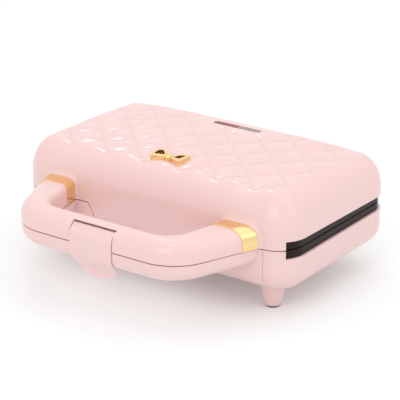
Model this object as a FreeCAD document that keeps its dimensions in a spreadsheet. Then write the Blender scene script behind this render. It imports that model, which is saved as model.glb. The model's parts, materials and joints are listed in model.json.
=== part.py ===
import FreeCAD, Part
import os
import re
import Sketcher

# A two-waffle maker shaped like a quilted handbag. Millimetres, +Z up, floor at z = 0.
# Every piece is drawn with y = 0 at the front wall of the body and x = 0 on the mid plane,
# and is then moved back by frame_shift, so that the origin lies under the middle of the whole object.

# Driving sizes. A name ending in _side, _end or _rear is how far in something lies from the side, the plate's
# end or the rear wall. One ending in _y or _height is a place. The rest are lengths, radii, angles or gaps.
SIZES = {
    # Body: the lid and the base share one plan outline
    "body_width": 237,
    "body_depth": 138,
    "corner_front": 22,
    "corner_rear": 20,
    "base_height": 19,
    "seam_height": 52,
    "lid_height": 90,
    "lid_round": 19,
    "base_round": 15,
    "wall": 2.5,
    # Gaps, and how far a cutting form runs past the surface it cuts
    "seam_gap": 0.8,
    "fixed_gap": 0.1,
    "held_gap": 0.05,
    "panel_gap": 0.3,
    "way_gap": 0.5,
    "moving_gap": 0.6,
    "overshoot": 6,
    # Waffle plates
    "plate_inset": 1.8,
    "plate_front_y": 6.9,
    "strip_front": 6.5,
    "strip_rear": 5.2,
    "plate_flange": 3,
    "plate_rim": 3,
    "plate_floor": 3,
    "cavity_side": 18.5,
    "cavity_end": 15.65,
    "cavity_divider": 12,
    "cavity_depth": 11,
    "cavity_corner": 6,
    "post_width": 15,
    "post_tall": 6.5,
    "post_taper": 14,
    "post_count": 4,
    # Quilting on the lid
    "quilt_pitch": 32,
    "quilt_y": 64,
    "groove_bar": 1.7,
    # Carry handle, split at the seam
    "handle_reach": 64.5,
    "grip_depth": 17.5,
    "handle_top_height": 67.5,
    "handle_foot_height": 39,
    "root_side": 24,
    "root_width": 29,
    "outer_lean": 24.5,
    "inner_lean": 11,
    "grip_corner_outer": 34,
    "grip_corner_inner": 17,
    "upper_round_outer": 10,
    "upper_round_inner": 5,
    "lower_round_outer": 8,
    "lower_round_inner": 4,
    # Collars and trim bands at the upper arm roots
    "collar_reach": 1.5,
    "collar_proud": 1.2,
    "band_width": 11.5,
    "band_proud": 0.6,
    # Lid skirt behind the handle, and the front panel moulded with the lower handle half
    "skirt_gap": 11.5,
    "skirt_lean": 9,
    "skirt_drop": 16,
    "skirt_thickness": 2.2,
    "panel_side": 20.5,
    "panel_foot_height": 22.3,
    "panel_thickness": 2.5,
    # Latch clip
    "latch_width": 36.4,
    "latch_proud": 0.8,
    "latch_thickness": 3,
    "latch_foot_height": 30.5,
    "latch_corner": 14,
    "latch_bend": 9,
    "latch_bend_drop": 3,
    "latch_gap": 0.5,
    "lip_angle": 28,
    "barrel_radius": 3.4,
    "pivot_inset": 5.8,
    "pivot_drop": 4.9,
    "latch_pin_radius": 1.25,
    "latch_pin_hold": 4,
    # Hinge
    "hinge_offset": 8,
    "hinge_side": 56.5,
    "hinge_root": 11,
    "knuckle_radius": 6,
    "knuckle_width": 22,
    "ear_width": 6,
    "hinge_gap": 0.5,
    "hinge_pin_radius": 2,
    "running_clearance": 0.05,
    # Feet
    "front_foot_side": 27.5,
    "front_foot_y": 24.5,
    "rear_foot_side": 54.5,
    "rear_foot_rear": 26,
    "foot_top_radius": 10.2,
    "foot_end_radius": 6,
    "foot_pad_radius": 5,
    "foot_pad_thickness": 2.2,
    "foot_pad_recess": 1,
    "spigot_radius": 3.5,
    "spigot_tall": 5,
    # Screws and the bosses they enter
    "screw_radius": 1.5,
    "screw_length": 12,
    "screw_head_radius": 3,
    "screw_head_thickness": 1.8,
    "boss_radius": 4,
    "boss_side": 12,
    "boss_front_y": 22,
    "boss_rear": 18,
    "handle_screw_rise": 7.5,
    # Heating elements, reflector pans and controls
    "element_radius": 3.25,
    "element_side": 56.5,
    "element_front_y": 42,
    "element_rear": 34,
    "element_bend": 18,
    "pin_radius": 1.5,
    "pin_length": 18,
    "pan_side": 24.5,
    "pan_front_y": 30,
    "pan_rear": 25,
    "sheet": 0.6,
    "thermostat_radius": 8,
    "thermostat_tall": 9,
    "tag_width": 4,
    "tag_tall": 2.5,
    "fuse_radius": 2.2,
    "fuse_length": 12,
    "fuse_y": 52,
    "terminal_pitch": 10,
    "terminal_count": 3,
    "terminal_length": 11,
    "terminal_tall": 8,
    "terminal_rear": 16,
    "terminal_screw_tall": 4,
    "gland_height": 40.4,
    "gland_radius": 4.6,
    "gland_flange": 6,
    "gland_lip": 2.2,
    "gland_bore": 3.6,
    # Indicator slot, its two lenses, lamps and lamp board
    "slot_length": 42,
    "slot_width": 6,
    "slot_rear": 26,
    "lens_recess": 0.6,
    "lens_flange": 1.5,
    "lens_flange_tall": 1.2,
    "lamp_radius": 2.5,
    "lamp_tall": 6,
    "board_thickness": 1.6,
    "board_post_x": 28,
    "board_post_radius": 2.5,
    # Bow ornament
    "bow_y": 25.5,
    "bow_half": 14,
    "bow_tall": 2.6,
    "bow_neck": 2.8,
    "bow_flare": 7.4,
    "ribbon": 2.4,
    "knot_half": 3.6,
    "knot_tall": 3.2,
    "stud_radius": 1.5,
}

# Places worked out from the driving sizes
PLACES = {
    "half_width": "body_width / 2",
    "upper_seam": "seam_height + seam_gap / 2",
    "lower_seam": "seam_height - seam_gap / 2",
    "floor_top": "base_height + wall",
    "ceiling": "lid_height - wall",
    "hinge_x": "half_width - hinge_side",
    "hinge_y": "body_depth + hinge_offset",
    "knuckle_lean": "knuckle_radius * sin(45) - fixed_gap",
    "pin_reach": "knuckle_width / 2 + hinge_gap + ear_width",
    "root_outer_x": "half_width - root_side",
    "root_inner_x": "root_outer_x - root_width",
    "grip_outer_x": "root_outer_x - outer_lean",
    "grip_inner_x": "root_inner_x - inner_lean",
    "grip_inner_y": "-handle_reach + grip_depth",
    "skirt_top_x": "root_inner_x - skirt_gap",
    "skirt_foot_x": "skirt_top_x - skirt_lean",
    "panel_x": "half_width - panel_side",
    "latch_front_y": "-handle_reach - latch_proud",
    "latch_back_y": "latch_front_y + latch_thickness",
    "latch_half": "latch_width / 2",
    "latch_pin_half": "latch_width / 2 + latch_gap + latch_pin_hold",
    "pivot_y": "-handle_reach + pivot_inset",
    "pivot_height": "handle_top_height - pivot_drop",
    "frame_shift": "(hinge_y + knuckle_radius + latch_front_y) / 2",
    "recess_y": "panel_thickness + panel_gap",
    "handle_screw_x": "root_outer_x - root_width / 2",
    "upper_screw_height": "upper_seam + handle_screw_rise",
    "lower_screw_height": "seam_height - strip_front - screw_head_radius - fixed_gap",
    "boss_x": "half_width - boss_side",
    "boss_rear_y": "body_depth - boss_rear",
    "front_foot_x": "half_width - front_foot_side",
    "rear_foot_x": "half_width - rear_foot_side",
    "rear_foot_y": "body_depth - rear_foot_rear",
    "cavity_width": "half_width - cavity_side - cavity_divider / 2",
    "cavity_length": "body_depth - plate_inset - plate_front_y - 2 * cavity_end",
    "cavity_middle_y": "(plate_front_y + body_depth - plate_inset) / 2",
    "element_x": "half_width - element_side",
    "element_rear_y": "body_depth - element_rear",
    "pan_x": "half_width - pan_side",
    "pan_rear_y": "body_depth - pan_rear",
    "terminal_y": "body_depth - terminal_rear - terminal_length",
    "slot_y": "body_depth - slot_rear",
    "plate_back": "cavity_depth + plate_floor",
    "back_gap": "seam_gap / 2 + plate_back + fixed_gap",
    "pan_gap": "back_gap + 2 * element_radius + fixed_gap",
    "gland_inner_y": "body_depth - wall - gland_lip",
    "lens_seat": "ceiling - fixed_gap",
    "board_top": "ceiling - wall - lamp_tall",
    "bow_seat": "lid_height + fixed_gap",
}

SIDES = {"left": "-1", "right": "1"}
LEVELS = {"upper": "1", "lower": "-1"}
SMALL = 1e-6

doc = FreeCAD.newDocument("waffle_maker")
pieces = []
homes = {}


def make_sheet(name, cells):
    sheet = doc.addObject("Spreadsheet::Sheet", name)
    for row, (alias, content) in enumerate(cells.items(), 1):
        sheet.set(f"A{row}", alias)
        sheet.set(f"B{row}", str(content))
        sheet.setAlias(f"B{row}", alias)
    doc.recompute()
    return sheet


def bound(text):
    """The text with each size or place written as its sheet cell."""
    def cell(match):
        word = match[0]
        sheet = "sizes." if word in SIZES else "places." if word in PLACES else ""
        return sheet + word
    return re.sub(r"[a-z_]+", cell, text)


sizes = make_sheet("sizes", SIZES)
places = make_sheet("places", {name: "=" + bound(text).replace("places.", "")
                               for name, text in PLACES.items()})


def value(text):
    return float(sizes.evalExpression(bound(text)))


def tie(thing, name, text):
    thing.setExpression(name, bound(text))


def place(thing, at):
    homes[thing.Name] = at
    for axis, text in zip("xyz", at):
        tie(thing, f"Placement.Base.{axis}", text)


# Solids that the pieces are made of

TURNS = {
    "x": FreeCAD.Rotation(FreeCAD.Vector(0, 1, 0), 90),
    "y": FreeCAD.Rotation(FreeCAD.Vector(1, 0, 0), -90),
    "z": FreeCAD.Rotation(),
}


def block(name, low, high):
    thing = doc.addObject("Part::Box", name)
    for side, start, end in zip(("Length", "Width", "Height"), low, high):
        tie(thing, side, f"({end}) - ({start})")
    place(thing, low)
    return thing


def rod(name, start, axis, length, radius):
    thing = doc.addObject("Part::Cylinder", name)
    thing.Placement.Rotation = TURNS[axis]
    tie(thing, "Radius", radius)
    tie(thing, "Height", length)
    place(thing, start)
    return thing


def taper(name, start, length, first_radius, last_radius):
    thing = doc.addObject("Part::Cone", name)
    tie(thing, "Radius1", first_radius)
    tie(thing, "Radius2", last_radius)
    tie(thing, "Height", length)
    place(thing, start)
    return thing


def outline(body, role, points, height):
    """A closed polygon on one of the body's origin planes, each corner tied to the sheet."""
    sketch = body.newObject("Sketcher::SketchObject", body.Name + "_outline")
    plane = next(item for item in body.Origin.OriginFeatures if item.Role == role)
    sketch.AttachmentSupport = [(plane, "")]
    sketch.MapMode = "FlatFace"
    tie(sketch, "AttachmentOffset.Base.z", height)
    spots = [FreeCAD.Vector(value(x), value(y), 0) for x, y in points]
    count = len(points)
    for index, spot in enumerate(spots):
        sketch.addGeometry(Part.LineSegment(spot, spots[(index + 1) % count]), False)
    for index in range(count):
        sketch.addConstraint(Sketcher.Constraint("Coincident", index, 2, (index + 1) % count, 1))
    for index, (point, spot) in enumerate(zip(points, spots)):
        for kind, text, start in zip(("DistanceX", "DistanceY"), point, spot):
            row = sketch.addConstraint(Sketcher.Constraint(kind, -1, 1, index, 1, start))
            tie(sketch, f"Constraints[{row}]", text)
    return sketch


def pad(body, sketch, length):
    feature = body.newObject("PartDesign::Pad", body.Name + "_pad")
    feature.Profile = sketch
    tie(feature, "Length", length)
    return feature


def prism(name, role, points, start, end):
    """A polygon drawn on an origin plane and padded from start to end along X, Y or Z."""
    body = doc.addObject("PartDesign::Body", name)
    height = f"-({end})" if role == "XZ_Plane" else start
    pad(body, outline(body, role, points, height), f"({end}) - ({start})")
    doc.recompute()
    return body


def fuse(name, *parts):
    thing = doc.addObject("Part::MultiFuse", name)
    thing.Shapes = list(parts)
    thing.Refine = True
    return thing


def cut(name, base, *tools):
    thing = doc.addObject("Part::Cut", name)
    thing.Base = base
    thing.Tool = tools[0] if len(tools) == 1 else fuse(name + "_tools", *tools)
    thing.Refine = True
    return thing


def common(name, *parts):
    thing = doc.addObject("Part::MultiCommon", name)
    thing.Shapes = list(parts)
    return thing


def rounded(name, base, *rules):
    """Rounds the edges that each rule's test picks, with that rule's radius."""
    doc.recompute()
    thing = doc.addObject("Part::Fillet", name)
    thing.Base = base
    chosen = []
    for test, radius in rules:
        size = value(radius)
        chosen += [(number, size, size) for number, edge in enumerate(base.Shape.Edges, 1) if test(edge)]
    thing.Edges = chosen
    doc.recompute()
    return thing


def group(name, *parts):
    thing = doc.addObject("Part::Compound", name)
    thing.Links = list(parts)
    return thing


def piece(label, thing):
    """Names a finished piece and moves it into the object's own frame."""
    thing.Label = label
    x, y, z = homes.get(thing.Name, ("0", "0", "0"))
    place(thing, (x, f"{y} - frame_shift", z))
    pieces.append(thing)


# Tests that pick edges to round

def upright(edge):
    return edge.BoundBox.XLength < SMALL and edge.BoundBox.YLength < SMALL


def front(edge):
    return edge.CenterOfMass.y < value("body_depth / 2")


def level(text):
    height = value(text)
    return lambda edge: abs(edge.BoundBox.ZMin - height) < SMALL and edge.BoundBox.ZLength < SMALL


def away(test):
    return lambda edge: not test(edge)


def both(*tests):
    return lambda edge: all(test(edge) for test in tests)


# Places and forms that several pieces share

def on_side(side, near, far):
    """The low and high x of a stretch from near to far off the mid plane, left or right."""
    return (near, far) if side == "1" else (f"-({far})", f"-({near})")


def off_seam(turn, near, far):
    """The low and high z of a stretch from near to far off the seam, above or below it."""
    low, high = (near, far) if turn == "1" else (far, near)
    return f"seam_height + {turn} * ({low})", f"seam_height + {turn} * ({high})"


def rectangle(middle_x, middle_y, half_x, half_y):
    return [(f"{middle_x} + {turn_x} * ({half_x})", f"{middle_y} + {turn_y} * ({half_y})")
            for turn_x, turn_y in ((-1, -1), (1, -1), (1, 1), (-1, 1))]


def corner_block(name, low, high, front_radius, rear_radius):
    """A block with its four upright edges rounded."""
    return rounded(name, block(name + "_block", low, high),
                   (both(upright, front), front_radius), (both(upright, away(front)), rear_radius))


def lid_form(name, inset, foot):
    low = (f"-half_width + {inset}", inset, foot)
    high = (f"half_width - {inset}", f"body_depth - {inset}", f"lid_height - {inset}")
    sides = corner_block(name + "_sides", low, high, f"corner_front - {inset}", f"corner_rear - {inset}")
    return rounded(name, sides, (level(high[2]), f"lid_round - {inset}"))


def base_form(name, inset, front_y, top):
    low = (f"-half_width + {inset}", front_y, f"base_height + {inset}")
    high = (f"half_width - {inset}", f"body_depth - {inset}", top)
    sides = corner_block(name + "_sides", low, high, f"corner_front - {inset}", f"corner_rear - {inset}")
    return rounded(name, sides, (level(low[2]), f"base_round - {inset}"))


def strip_slot(name, turn, gap, front_gap):
    """The wedge between lid and base that a plate's rim fills, from the seam to the shell's edge."""
    front_y = f"plate_front_y - {front_gap}"
    far_y = "body_depth + overshoot"
    start = f"seam_height - {turn} * overshoot"
    rear_z = f"seam_height + {turn} * (strip_rear - {gap})"
    points = [(front_y, start), (front_y, f"seam_height + {turn} * (strip_front - {gap})"),
              ("body_depth", rear_z), (far_y, rear_z), (far_y, start)]
    return prism(name, "YZ_Plane", points, "-body_width", "body_width")


def skirt_form(name, gap, back_y):
    """The lid's tongue in front of the base, narrower towards its lower edge."""
    top_x = f"skirt_top_x + {gap}"
    foot_x = f"skirt_foot_x + {gap}"
    foot_z = f"seam_height - skirt_drop - {gap}"
    top_z = "upper_seam + wall"
    points = [(f"-({top_x})", top_z), (f"-({top_x})", "seam_height"), (f"-({foot_x})", foot_z),
              (foot_x, foot_z), (top_x, "seam_height"), (top_x, top_z)]
    return prism(name, "XZ_Plane", points, "0", back_y)


def handle_form(name, grow, root_y, low, high, rounded_height, outer, inner):
    """Half of the carry handle: a flat U in plan, rounded along its outer and inner edges."""
    inner_y = f"grip_inner_y + {grow}"
    arm = [(f"grip_inner_x - {grow}", inner_y), (f"root_inner_x - {grow}", root_y),
           (f"root_outer_x + {grow}", root_y), (f"grip_outer_x + {grow}", f"-handle_reach - {grow}")]
    plan = prism(name + "_plan", "XY_Plane", arm + [(f"-({x})", y) for x, y in reversed(arm)], low, high)

    def within(edge):
        spot = edge.CenterOfMass
        return spot.y > value(inner_y) - SMALL and abs(spot.x) < value(arm[1][0])

    def at_grip(edge):
        return edge.CenterOfMass.y < value(inner_y) + SMALL

    def at_root(edge):
        return abs(edge.CenterOfMass.y - value(root_y)) < SMALL

    corners = rounded(name + "_corners", plan,
                      (both(upright, at_grip, within), "grip_corner_inner"),
                      (both(upright, at_grip, away(within)), "grip_corner_outer"))
    rim = both(level(rounded_height), away(at_root))
    return rounded(name, corners, (both(rim, within), inner), (both(rim, away(within)), outer))


def screws(label, seats, axis, turn):
    """Flat-headed screws: each starts at its head's seat and runs along the axis."""
    made = []
    index = "xyz".index(axis)
    for number, seat in enumerate(seats, 1):
        shank_start = list(seat)
        head_start = list(seat)
        if turn == "1":
            head_start[index] = f"{seat[index]} - screw_head_thickness"
        else:
            shank_start[index] = f"{seat[index]} - screw_length"
        head = rod(f"{label}_head_{number}", head_start, axis, "screw_head_thickness", "screw_head_radius")
        shank = rod(f"{label}_shank_{number}", shank_start, axis, "screw_length", "screw_radius")
        made.append(fuse(f"{label}_{number}", head, shank))
    piece(label, group(label + "_set", *made))


lid_outside = lid_form("lid_outside", "0", "upper_seam")
base_outside = base_form("base_outside", "0", "0", "lower_seam")
upper_grip = handle_form("upper_grip", "0", "-collar_reach", "upper_seam", "handle_top_height",
                         "handle_top_height", "upper_round_outer", "upper_round_inner")
lower_grip = handle_form("lower_grip", "0", "panel_thickness / 2", "handle_foot_height", "lower_seam",
                         "handle_foot_height", "lower_round_outer", "lower_round_inner")
boss_spots = [(f"{side} * boss_x", y) for side in SIDES.values() for y in ("boss_front_y", "boss_rear_y")]
foot_spots = {f"{end}_{name}": (f"{side} * {end}_foot_x", f"{end}_foot_y")
              for end in ("front", "rear") for name, side in SIDES.items()}


def knuckle(name, start, end, turn):
    """A hinge eye on a root that reaches back to the shell's rear wall, above or below the seam."""
    wall_y = "body_depth - wall / 2"
    near_z = f"seam_height + {turn} * (strip_rear + fixed_gap)"
    points = [(wall_y, near_z), (wall_y, f"{near_z} + {turn} * hinge_root"),
              ("hinge_y + knuckle_lean", f"seam_height + {turn} * knuckle_lean"),
              ("hinge_y - knuckle_lean", f"seam_height - {turn} * knuckle_lean")]
    root = prism(name + "_root", "YZ_Plane", points, start, end)
    eye = rod(name + "_eye", (start, "hinge_y", "seam_height"), "x", f"({end}) - ({start})", "knuckle_radius")
    return fuse(name, root, eye)


def hinge_bores(shell):
    """One bore on each side, right through the shell's eyes."""
    reach = "(pin_reach + overshoot)"
    return [rod(f"{shell}_{name}_bore", (f"{side} * hinge_x - {reach}", "hinge_y", "seam_height"), "x",
                f"2 * {reach}", "hinge_pin_radius + running_clearance") for name, side in SIDES.items()]


def screw_bosses(shell, outside, start, end, hole_start):
    """Posts that the plate screws enter, kept inside the shell's outside, and the holes in them."""
    posts = []
    holes = []
    for number, (x, y) in enumerate(boss_spots, 1):
        post = rod(f"{shell}_boss_rod_{number}", (x, y, start), "z", f"({end}) - ({start})", "boss_radius")
        posts.append(common(f"{shell}_boss_{number}", outside, post))
        holes.append(rod(f"{shell}_boss_hole_{number}", (x, y, hole_start), "z",
                         "plate_flange + screw_length", "screw_radius + held_gap"))
    return posts, holes


def arm_screw_holes(shell, start_y, end_y, height):
    return [rod(f"{shell}_{name}_arm_hole", (f"{side} * handle_screw_x", start_y, height), "y",
                f"({end_y}) - ({start_y})", "screw_radius + held_gap") for name, side in SIDES.items()]


# Lid shell

def quilt_grooves():
    """Diagonal V grooves at both slants, over the flat of the lid's top."""
    reach = "(body_width + body_depth)"
    count = int(value(f"{reach} / quilt_pitch")) + 1
    lean = FreeCAD.Rotation(FreeCAD.Vector(1, 0, 0), 45)
    bars = []
    for slant in (45, -45):
        for number in range(-count, count + 1):
            start = (f"{number} * quilt_pitch - {reach} / 2 * cos({slant})",
                     f"quilt_y - {reach} / 2 * sin({slant})", "lid_height - groove_bar * sin(45)")
            bar = block("groove_bar", start, start)
            bar.Placement.Rotation = FreeCAD.Rotation(FreeCAD.Vector(0, 0, 1), slant) * lean
            for side, size in (("Length", reach), ("Width", "groove_bar"), ("Height", "groove_bar")):
                tie(bar, side, size)
            bars.append(bar)
    flat = block("quilt_flat", ("-half_width + lid_round", "lid_round", "ceiling"),
                 ("half_width - lid_round", "body_depth - lid_round", "lid_height + overshoot"))
    return common("quilt", fuse("quilt_bars", *bars), flat)


def indicator_slot(name, gap, low, high):
    half_x = f"(slot_length / 2 - {gap})"
    half_y = f"(slot_width / 2 - {gap})"
    slot = block(name + "_block", (f"-{half_x}", f"slot_y - {half_y}", low),
                 (half_x, f"slot_y + {half_y}", high))
    return rounded(name, slot, (upright, f"{half_y} - fixed_gap"))


def collar(name, side):
    """The lid's raised rim round one arm of the handle."""
    low_x, high_x = on_side(side, "root_inner_x - collar_proud", "root_outer_x + collar_proud")
    stub = block(f"{name}_stub", (low_x, "-collar_reach", "upper_seam"),
                 (high_x, "wall / 2", "handle_top_height + collar_proud"))

    def along_top(edge):
        return edge.BoundBox.YLength > SMALL and edge.BoundBox.ZMin > value("handle_top_height")

    def far_side(edge):
        return abs(edge.CenterOfMass.x) > value("handle_screw_x")

    return rounded(f"{name}_collar", stub,
                   (both(along_top, far_side), "upper_round_outer + collar_proud"),
                   (both(along_top, away(far_side)), "upper_round_inner + collar_proud"))


def lid_shell():
    hollow = cut("lid_hollow", lid_outside, lid_form("lid_inside", "wall", "upper_seam - overshoot"),
                 strip_slot("upper_strip_slot", "1", "0", "fixed_gap"), quilt_grooves(),
                 indicator_slot("lid_slot", "0", "ceiling - overshoot", "lid_height + overshoot"))
    additions = [skirt_form("skirt", "0", "skirt_thickness")]
    for name, side in SIDES.items():
        additions.append(collar(name, side))
        additions.append(knuckle(f"{name}_lid_knuckle", f"{side} * hinge_x - knuckle_width / 2",
                                 f"{side} * hinge_x + knuckle_width / 2", "1"))
        additions.append(rod(f"{name}_board_post", (f"{side} * board_post_x", "slot_y", "board_top"), "z",
                             "ceiling + wall / 2 - board_top", "board_post_radius"))
    bosses, holes = screw_bosses("lid", lid_outside, "upper_seam + plate_flange", "lid_height", "upper_seam")
    holes += hinge_bores("lid")
    holes += arm_screw_holes("lid", "-collar_reach - overshoot", "wall + overshoot", "upper_screw_height")
    holes.append(rod("bow_stud_hole", ("0", "bow_y", "ceiling - overshoot"), "z", "wall + 2 * overshoot",
                     "stud_radius + held_gap"))
    piece("lid_shell", cut("lid", fuse("lid_joined", hollow, *additions, *bosses), *holes))


# Base shell

def base_shell():
    inside = base_form("base_inside", "wall", "recess_y + wall", "lower_seam + overshoot")
    recess = block("panel_recess", ("-panel_x - panel_gap", "-overshoot", "panel_foot_height - panel_gap"),
                   ("panel_x + panel_gap", "recess_y", "seam_height + overshoot"))
    slot = strip_slot("lower_strip_slot", "-1", "0", "fixed_gap")
    hollow = cut("base_hollow", base_outside, inside, recess, slot)
    ears = []
    for name, side in SIDES.items():
        ears.append(knuckle(f"{name}_low_ear", f"{side} * hinge_x - pin_reach",
                            f"{side} * hinge_x - knuckle_width / 2 - hinge_gap", "-1"))
        ears.append(knuckle(f"{name}_high_ear", f"{side} * hinge_x + knuckle_width / 2 + hinge_gap",
                            f"{side} * hinge_x + pin_reach", "-1"))
    bosses, holes = screw_bosses("base", base_outside, "base_height", "lower_seam - plate_flange",
                                 "lower_seam - plate_flange - screw_length")
    holes += hinge_bores("base")
    holes += arm_screw_holes("base", "0", "recess_y + wall + overshoot", "lower_screw_height")
    holes += [rod(f"{name}_foot_hole", (x, y, "base_height - overshoot"), "z", "wall + 2 * overshoot",
                  "spigot_radius + held_gap") for name, (x, y) in foot_spots.items()]
    holes.append(rod("gland_hole", ("0", "body_depth - wall - overshoot", "gland_height"), "y",
                     "wall + 2 * overshoot", "gland_radius + held_gap"))
    piece("base_shell", cut("base", fuse("base_joined", hollow, *ears, *bosses), *holes))


# Waffle plates

def waffle_posts(name, turn, middle_x):
    """A thin slab under one cavity with a grid of tapered posts standing on it."""
    body = doc.addObject("PartDesign::Body", name)
    floor = f"seam_height + {turn} * (seam_gap / 2 + cavity_depth)"
    cavity = rectangle(middle_x, "cavity_middle_y", "cavity_width / 2", "cavity_length / 2")
    slab = pad(body, outline(body, "XY_Plane", cavity, floor), "plate_floor / 2")
    slab.Reversed = turn == "-1"
    steps = ("cavity_width / post_count", "cavity_length / post_count")
    first_x = f"{middle_x} - cavity_width / 2 + {steps[0]} / 2"
    first_y = f"cavity_middle_y - cavity_length / 2 + {steps[1]} / 2"
    foot = rectangle(first_x, first_y, "post_width / 2", "post_width / 2")
    square = outline(body, "XY_Plane", foot, floor)
    post = pad(body, square, "post_tall")
    post.Reversed = turn == "1"
    tie(post, "TaperAngle", "-post_taper")
    grid = body.newObject("PartDesign::MultiTransform", name + "_grid")
    rows = []
    for axis, step in zip(("H_Axis", "V_Axis"), steps):
        row = body.newObject("PartDesign::LinearPattern", name + "_row")
        row.Direction = (square, [axis])
        tie(row, "Length", f"{step} * (post_count - 1)")
        tie(row, "Occurrences", "post_count")
        rows.append(row)
    grid.Originals = [post]
    grid.Transformations = rows
    body.Tip = grid
    doc.recompute()
    return body


def waffle_plate(label, turn):
    face = "seam_gap / 2"

    def span(low, near, high, far):
        """A block's two corners, with near and far measured away from the cooking face."""
        low_z, high_z = off_seam(turn, f"{face} + {near}", f"{face} + {far}")
        return (*low, low_z), (*high, high_z)

    def inset_block(name, inset, front_y, near, far):
        low, high = span((f"-half_width + {inset}", front_y), near,
                         (f"half_width - {inset}", f"body_depth - {inset}"), far)
        return corner_block(name, low, high, f"corner_front - {inset}", f"corner_rear - {inset}")

    sheet = inset_block(label + "_sheet", "plate_inset", "plate_inset", "0", "strip_front + strip_rear")
    wedge = strip_slot(label + "_wedge", turn, "fixed_gap", "0")
    hollow = inset_block(label + "_hollow", "(plate_inset + plate_rim)", "plate_front_y + plate_rim",
                         "plate_flange", "strip_front + 2 * strip_rear")
    tray = cut(label + "_tray", common(label + "_rim", sheet, wedge), hollow)
    reach_x = "(cavity_divider / 2 + cavity_width + plate_floor)"
    reach_y = "(cavity_length / 2 + plate_floor)"
    box = block(label + "_box", *span((f"-{reach_x}", f"cavity_middle_y - {reach_y}"), "plate_flange / 2",
                                      (reach_x, f"cavity_middle_y + {reach_y}"), "plate_back"))
    cavities = []
    posts = []
    for name, side in SIDES.items():
        middle = f"{side} * (cavity_divider + cavity_width) / 2"
        corners = rectangle(middle, "cavity_middle_y", "cavity_width / 2", "cavity_length / 2")
        low, high = span(corners[0], "-overshoot", corners[2], "cavity_depth")
        cavities.append(corner_block(f"{label}_{name}_cavity", low, high, "cavity_corner", "cavity_corner"))
        posts.append(waffle_posts(f"{label}_{name}_posts", turn, middle))
    steps = (("sink", "-overshoot", "screw_head_thickness", "screw_head_radius"),
             ("hole", "0", "plate_flange", "screw_radius"),
             ("boss_way", "plate_flange", "plate_back", "boss_radius"))
    holes = []
    for number, spot in enumerate(boss_spots, 1):
        for name, near, far, radius in steps:
            start, end = span(spot, near, spot, far)
            holes.append(rod(f"{label}_{name}_{number}", start, "z", f"({far}) - ({near})",
                             f"{radius} + fixed_gap"))
    hollowed = cut(label + "_hollowed", fuse(label + "_solid", tray, box), *cavities)
    piece(label, cut(label + "_drilled", fuse(label + "_studded", hollowed, *posts), *holes))
    seats = [(x, y, f"seam_height + {turn} * ({face} + screw_head_thickness)") for x, y in boss_spots]
    screws(label + "_screws", seats, "z", turn)


# Heating elements and their reflector pans

def heating_element(label, turn):
    """A bent tube with its two ends to the rear, and a connecting pin in each end."""
    height = f"seam_height + {turn} * (back_gap + element_radius)"
    bend_y = "element_front_y + element_bend"
    parts = [rod(label + "_cross", ("-element_x + element_bend", "element_front_y", height), "x",
                 "2 * (element_x - element_bend)", "element_radius")]
    for name, side in SIDES.items():
        x = f"{side} * element_x"
        parts.append(rod(f"{label}_{name}_run", (x, bend_y, height), "y", f"element_rear_y - ({bend_y})",
                         "element_radius"))
        parts.append(rod(f"{label}_{name}_pin", (x, bend_y, height), "y",
                         f"element_rear_y + pin_length - ({bend_y})", "pin_radius"))
        bend = doc.addObject("Part::Torus", f"{label}_{name}_bend")
        tie(bend, "Radius1", "element_bend")
        tie(bend, "Radius2", "element_radius")
        bend.Angle3 = 90
        bend.Placement.Rotation = FreeCAD.Rotation(FreeCAD.Vector(0, 0, 1), 270 if side == "1" else 180)
        place(bend, (f"{side} * (element_x - element_bend)", bend_y, height))
        parts.append(bend)
    piece(label, fuse(label + "_tube", *parts))


def reflector_pan(label, turn):
    """A pressed sheet pan that covers the element and bears on the back of the plate."""
    low_z, high_z = off_seam(turn, "back_gap", "pan_gap + sheet")
    low_in, high_in = off_seam(turn, "back_gap - overshoot", "pan_gap")
    shell = block(label + "_shell", ("-pan_x", "pan_front_y", low_z), ("pan_x", "pan_rear_y", high_z))
    room = block(label + "_room", ("-pan_x + sheet", "pan_front_y + sheet", low_in),
                 ("pan_x - sheet", "pan_rear_y - sheet", high_in))
    height = f"seam_height + {turn} * (back_gap + element_radius)"
    ways = [rod(f"{label}_{name}_way", (f"{side} * element_x", "pan_rear_y - overshoot", height), "y",
                "2 * overshoot", "pin_radius + fixed_gap") for name, side in SIDES.items()]
    if turn == LEVELS["lower"]:
        ways.append(rod(label + "_thermostat_way", ("0", "cavity_middle_y", f"{low_z} - overshoot"), "z",
                        "2 * overshoot", "thermostat_radius + way_gap"))
    piece(label, cut(label + "_pressed", shell, room, *ways))


# Carry handle, trim bands and latch

def latch_lip(radius):
    """The point at the top of the latch plate, on a circle round the pivot."""
    return f"pivot_y - ({radius}) * cos(lip_angle)", f"pivot_height + ({radius}) * sin(lip_angle)"


def latch_room(name):
    """The space in the handle's front that the latch plate and its barrel need."""
    half = "(latch_half + latch_gap)"
    radius = "barrel_radius + latch_gap"
    back = "latch_back_y + latch_gap"
    far = "latch_front_y - overshoot"
    foot = "handle_foot_height - overshoot"
    lip = latch_lip(radius)
    points = [(far, foot), (back, foot), (back, "pivot_height"), ("pivot_y", "pivot_height"), lip,
              (far, lip[1])]
    front_room = prism(name + "_front", "YZ_Plane", points, f"-{half}", half)
    barrel_room = rod(name + "_barrel", (f"-{half}", "pivot_y", "pivot_height"), "x", f"2 * {half}", radius)
    return fuse(name, front_room, barrel_room)


def handle_screws(level_name, seat_y, height):
    """The two screws of a handle half, and the ways they need in its arms."""
    seats = [(f"{side} * handle_screw_x", seat_y, height) for side in SIDES.values()]
    screws(f"{level_name}_handle_screws", seats, "y", "-1")
    depth = "(screw_length + way_gap)"
    return [rod(f"{level_name}_screw_way_{number}", (x, f"{y} - {depth}", z), "y", depth,
                "screw_radius + held_gap") for number, (x, y, z) in enumerate(seats, 1)]


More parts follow.
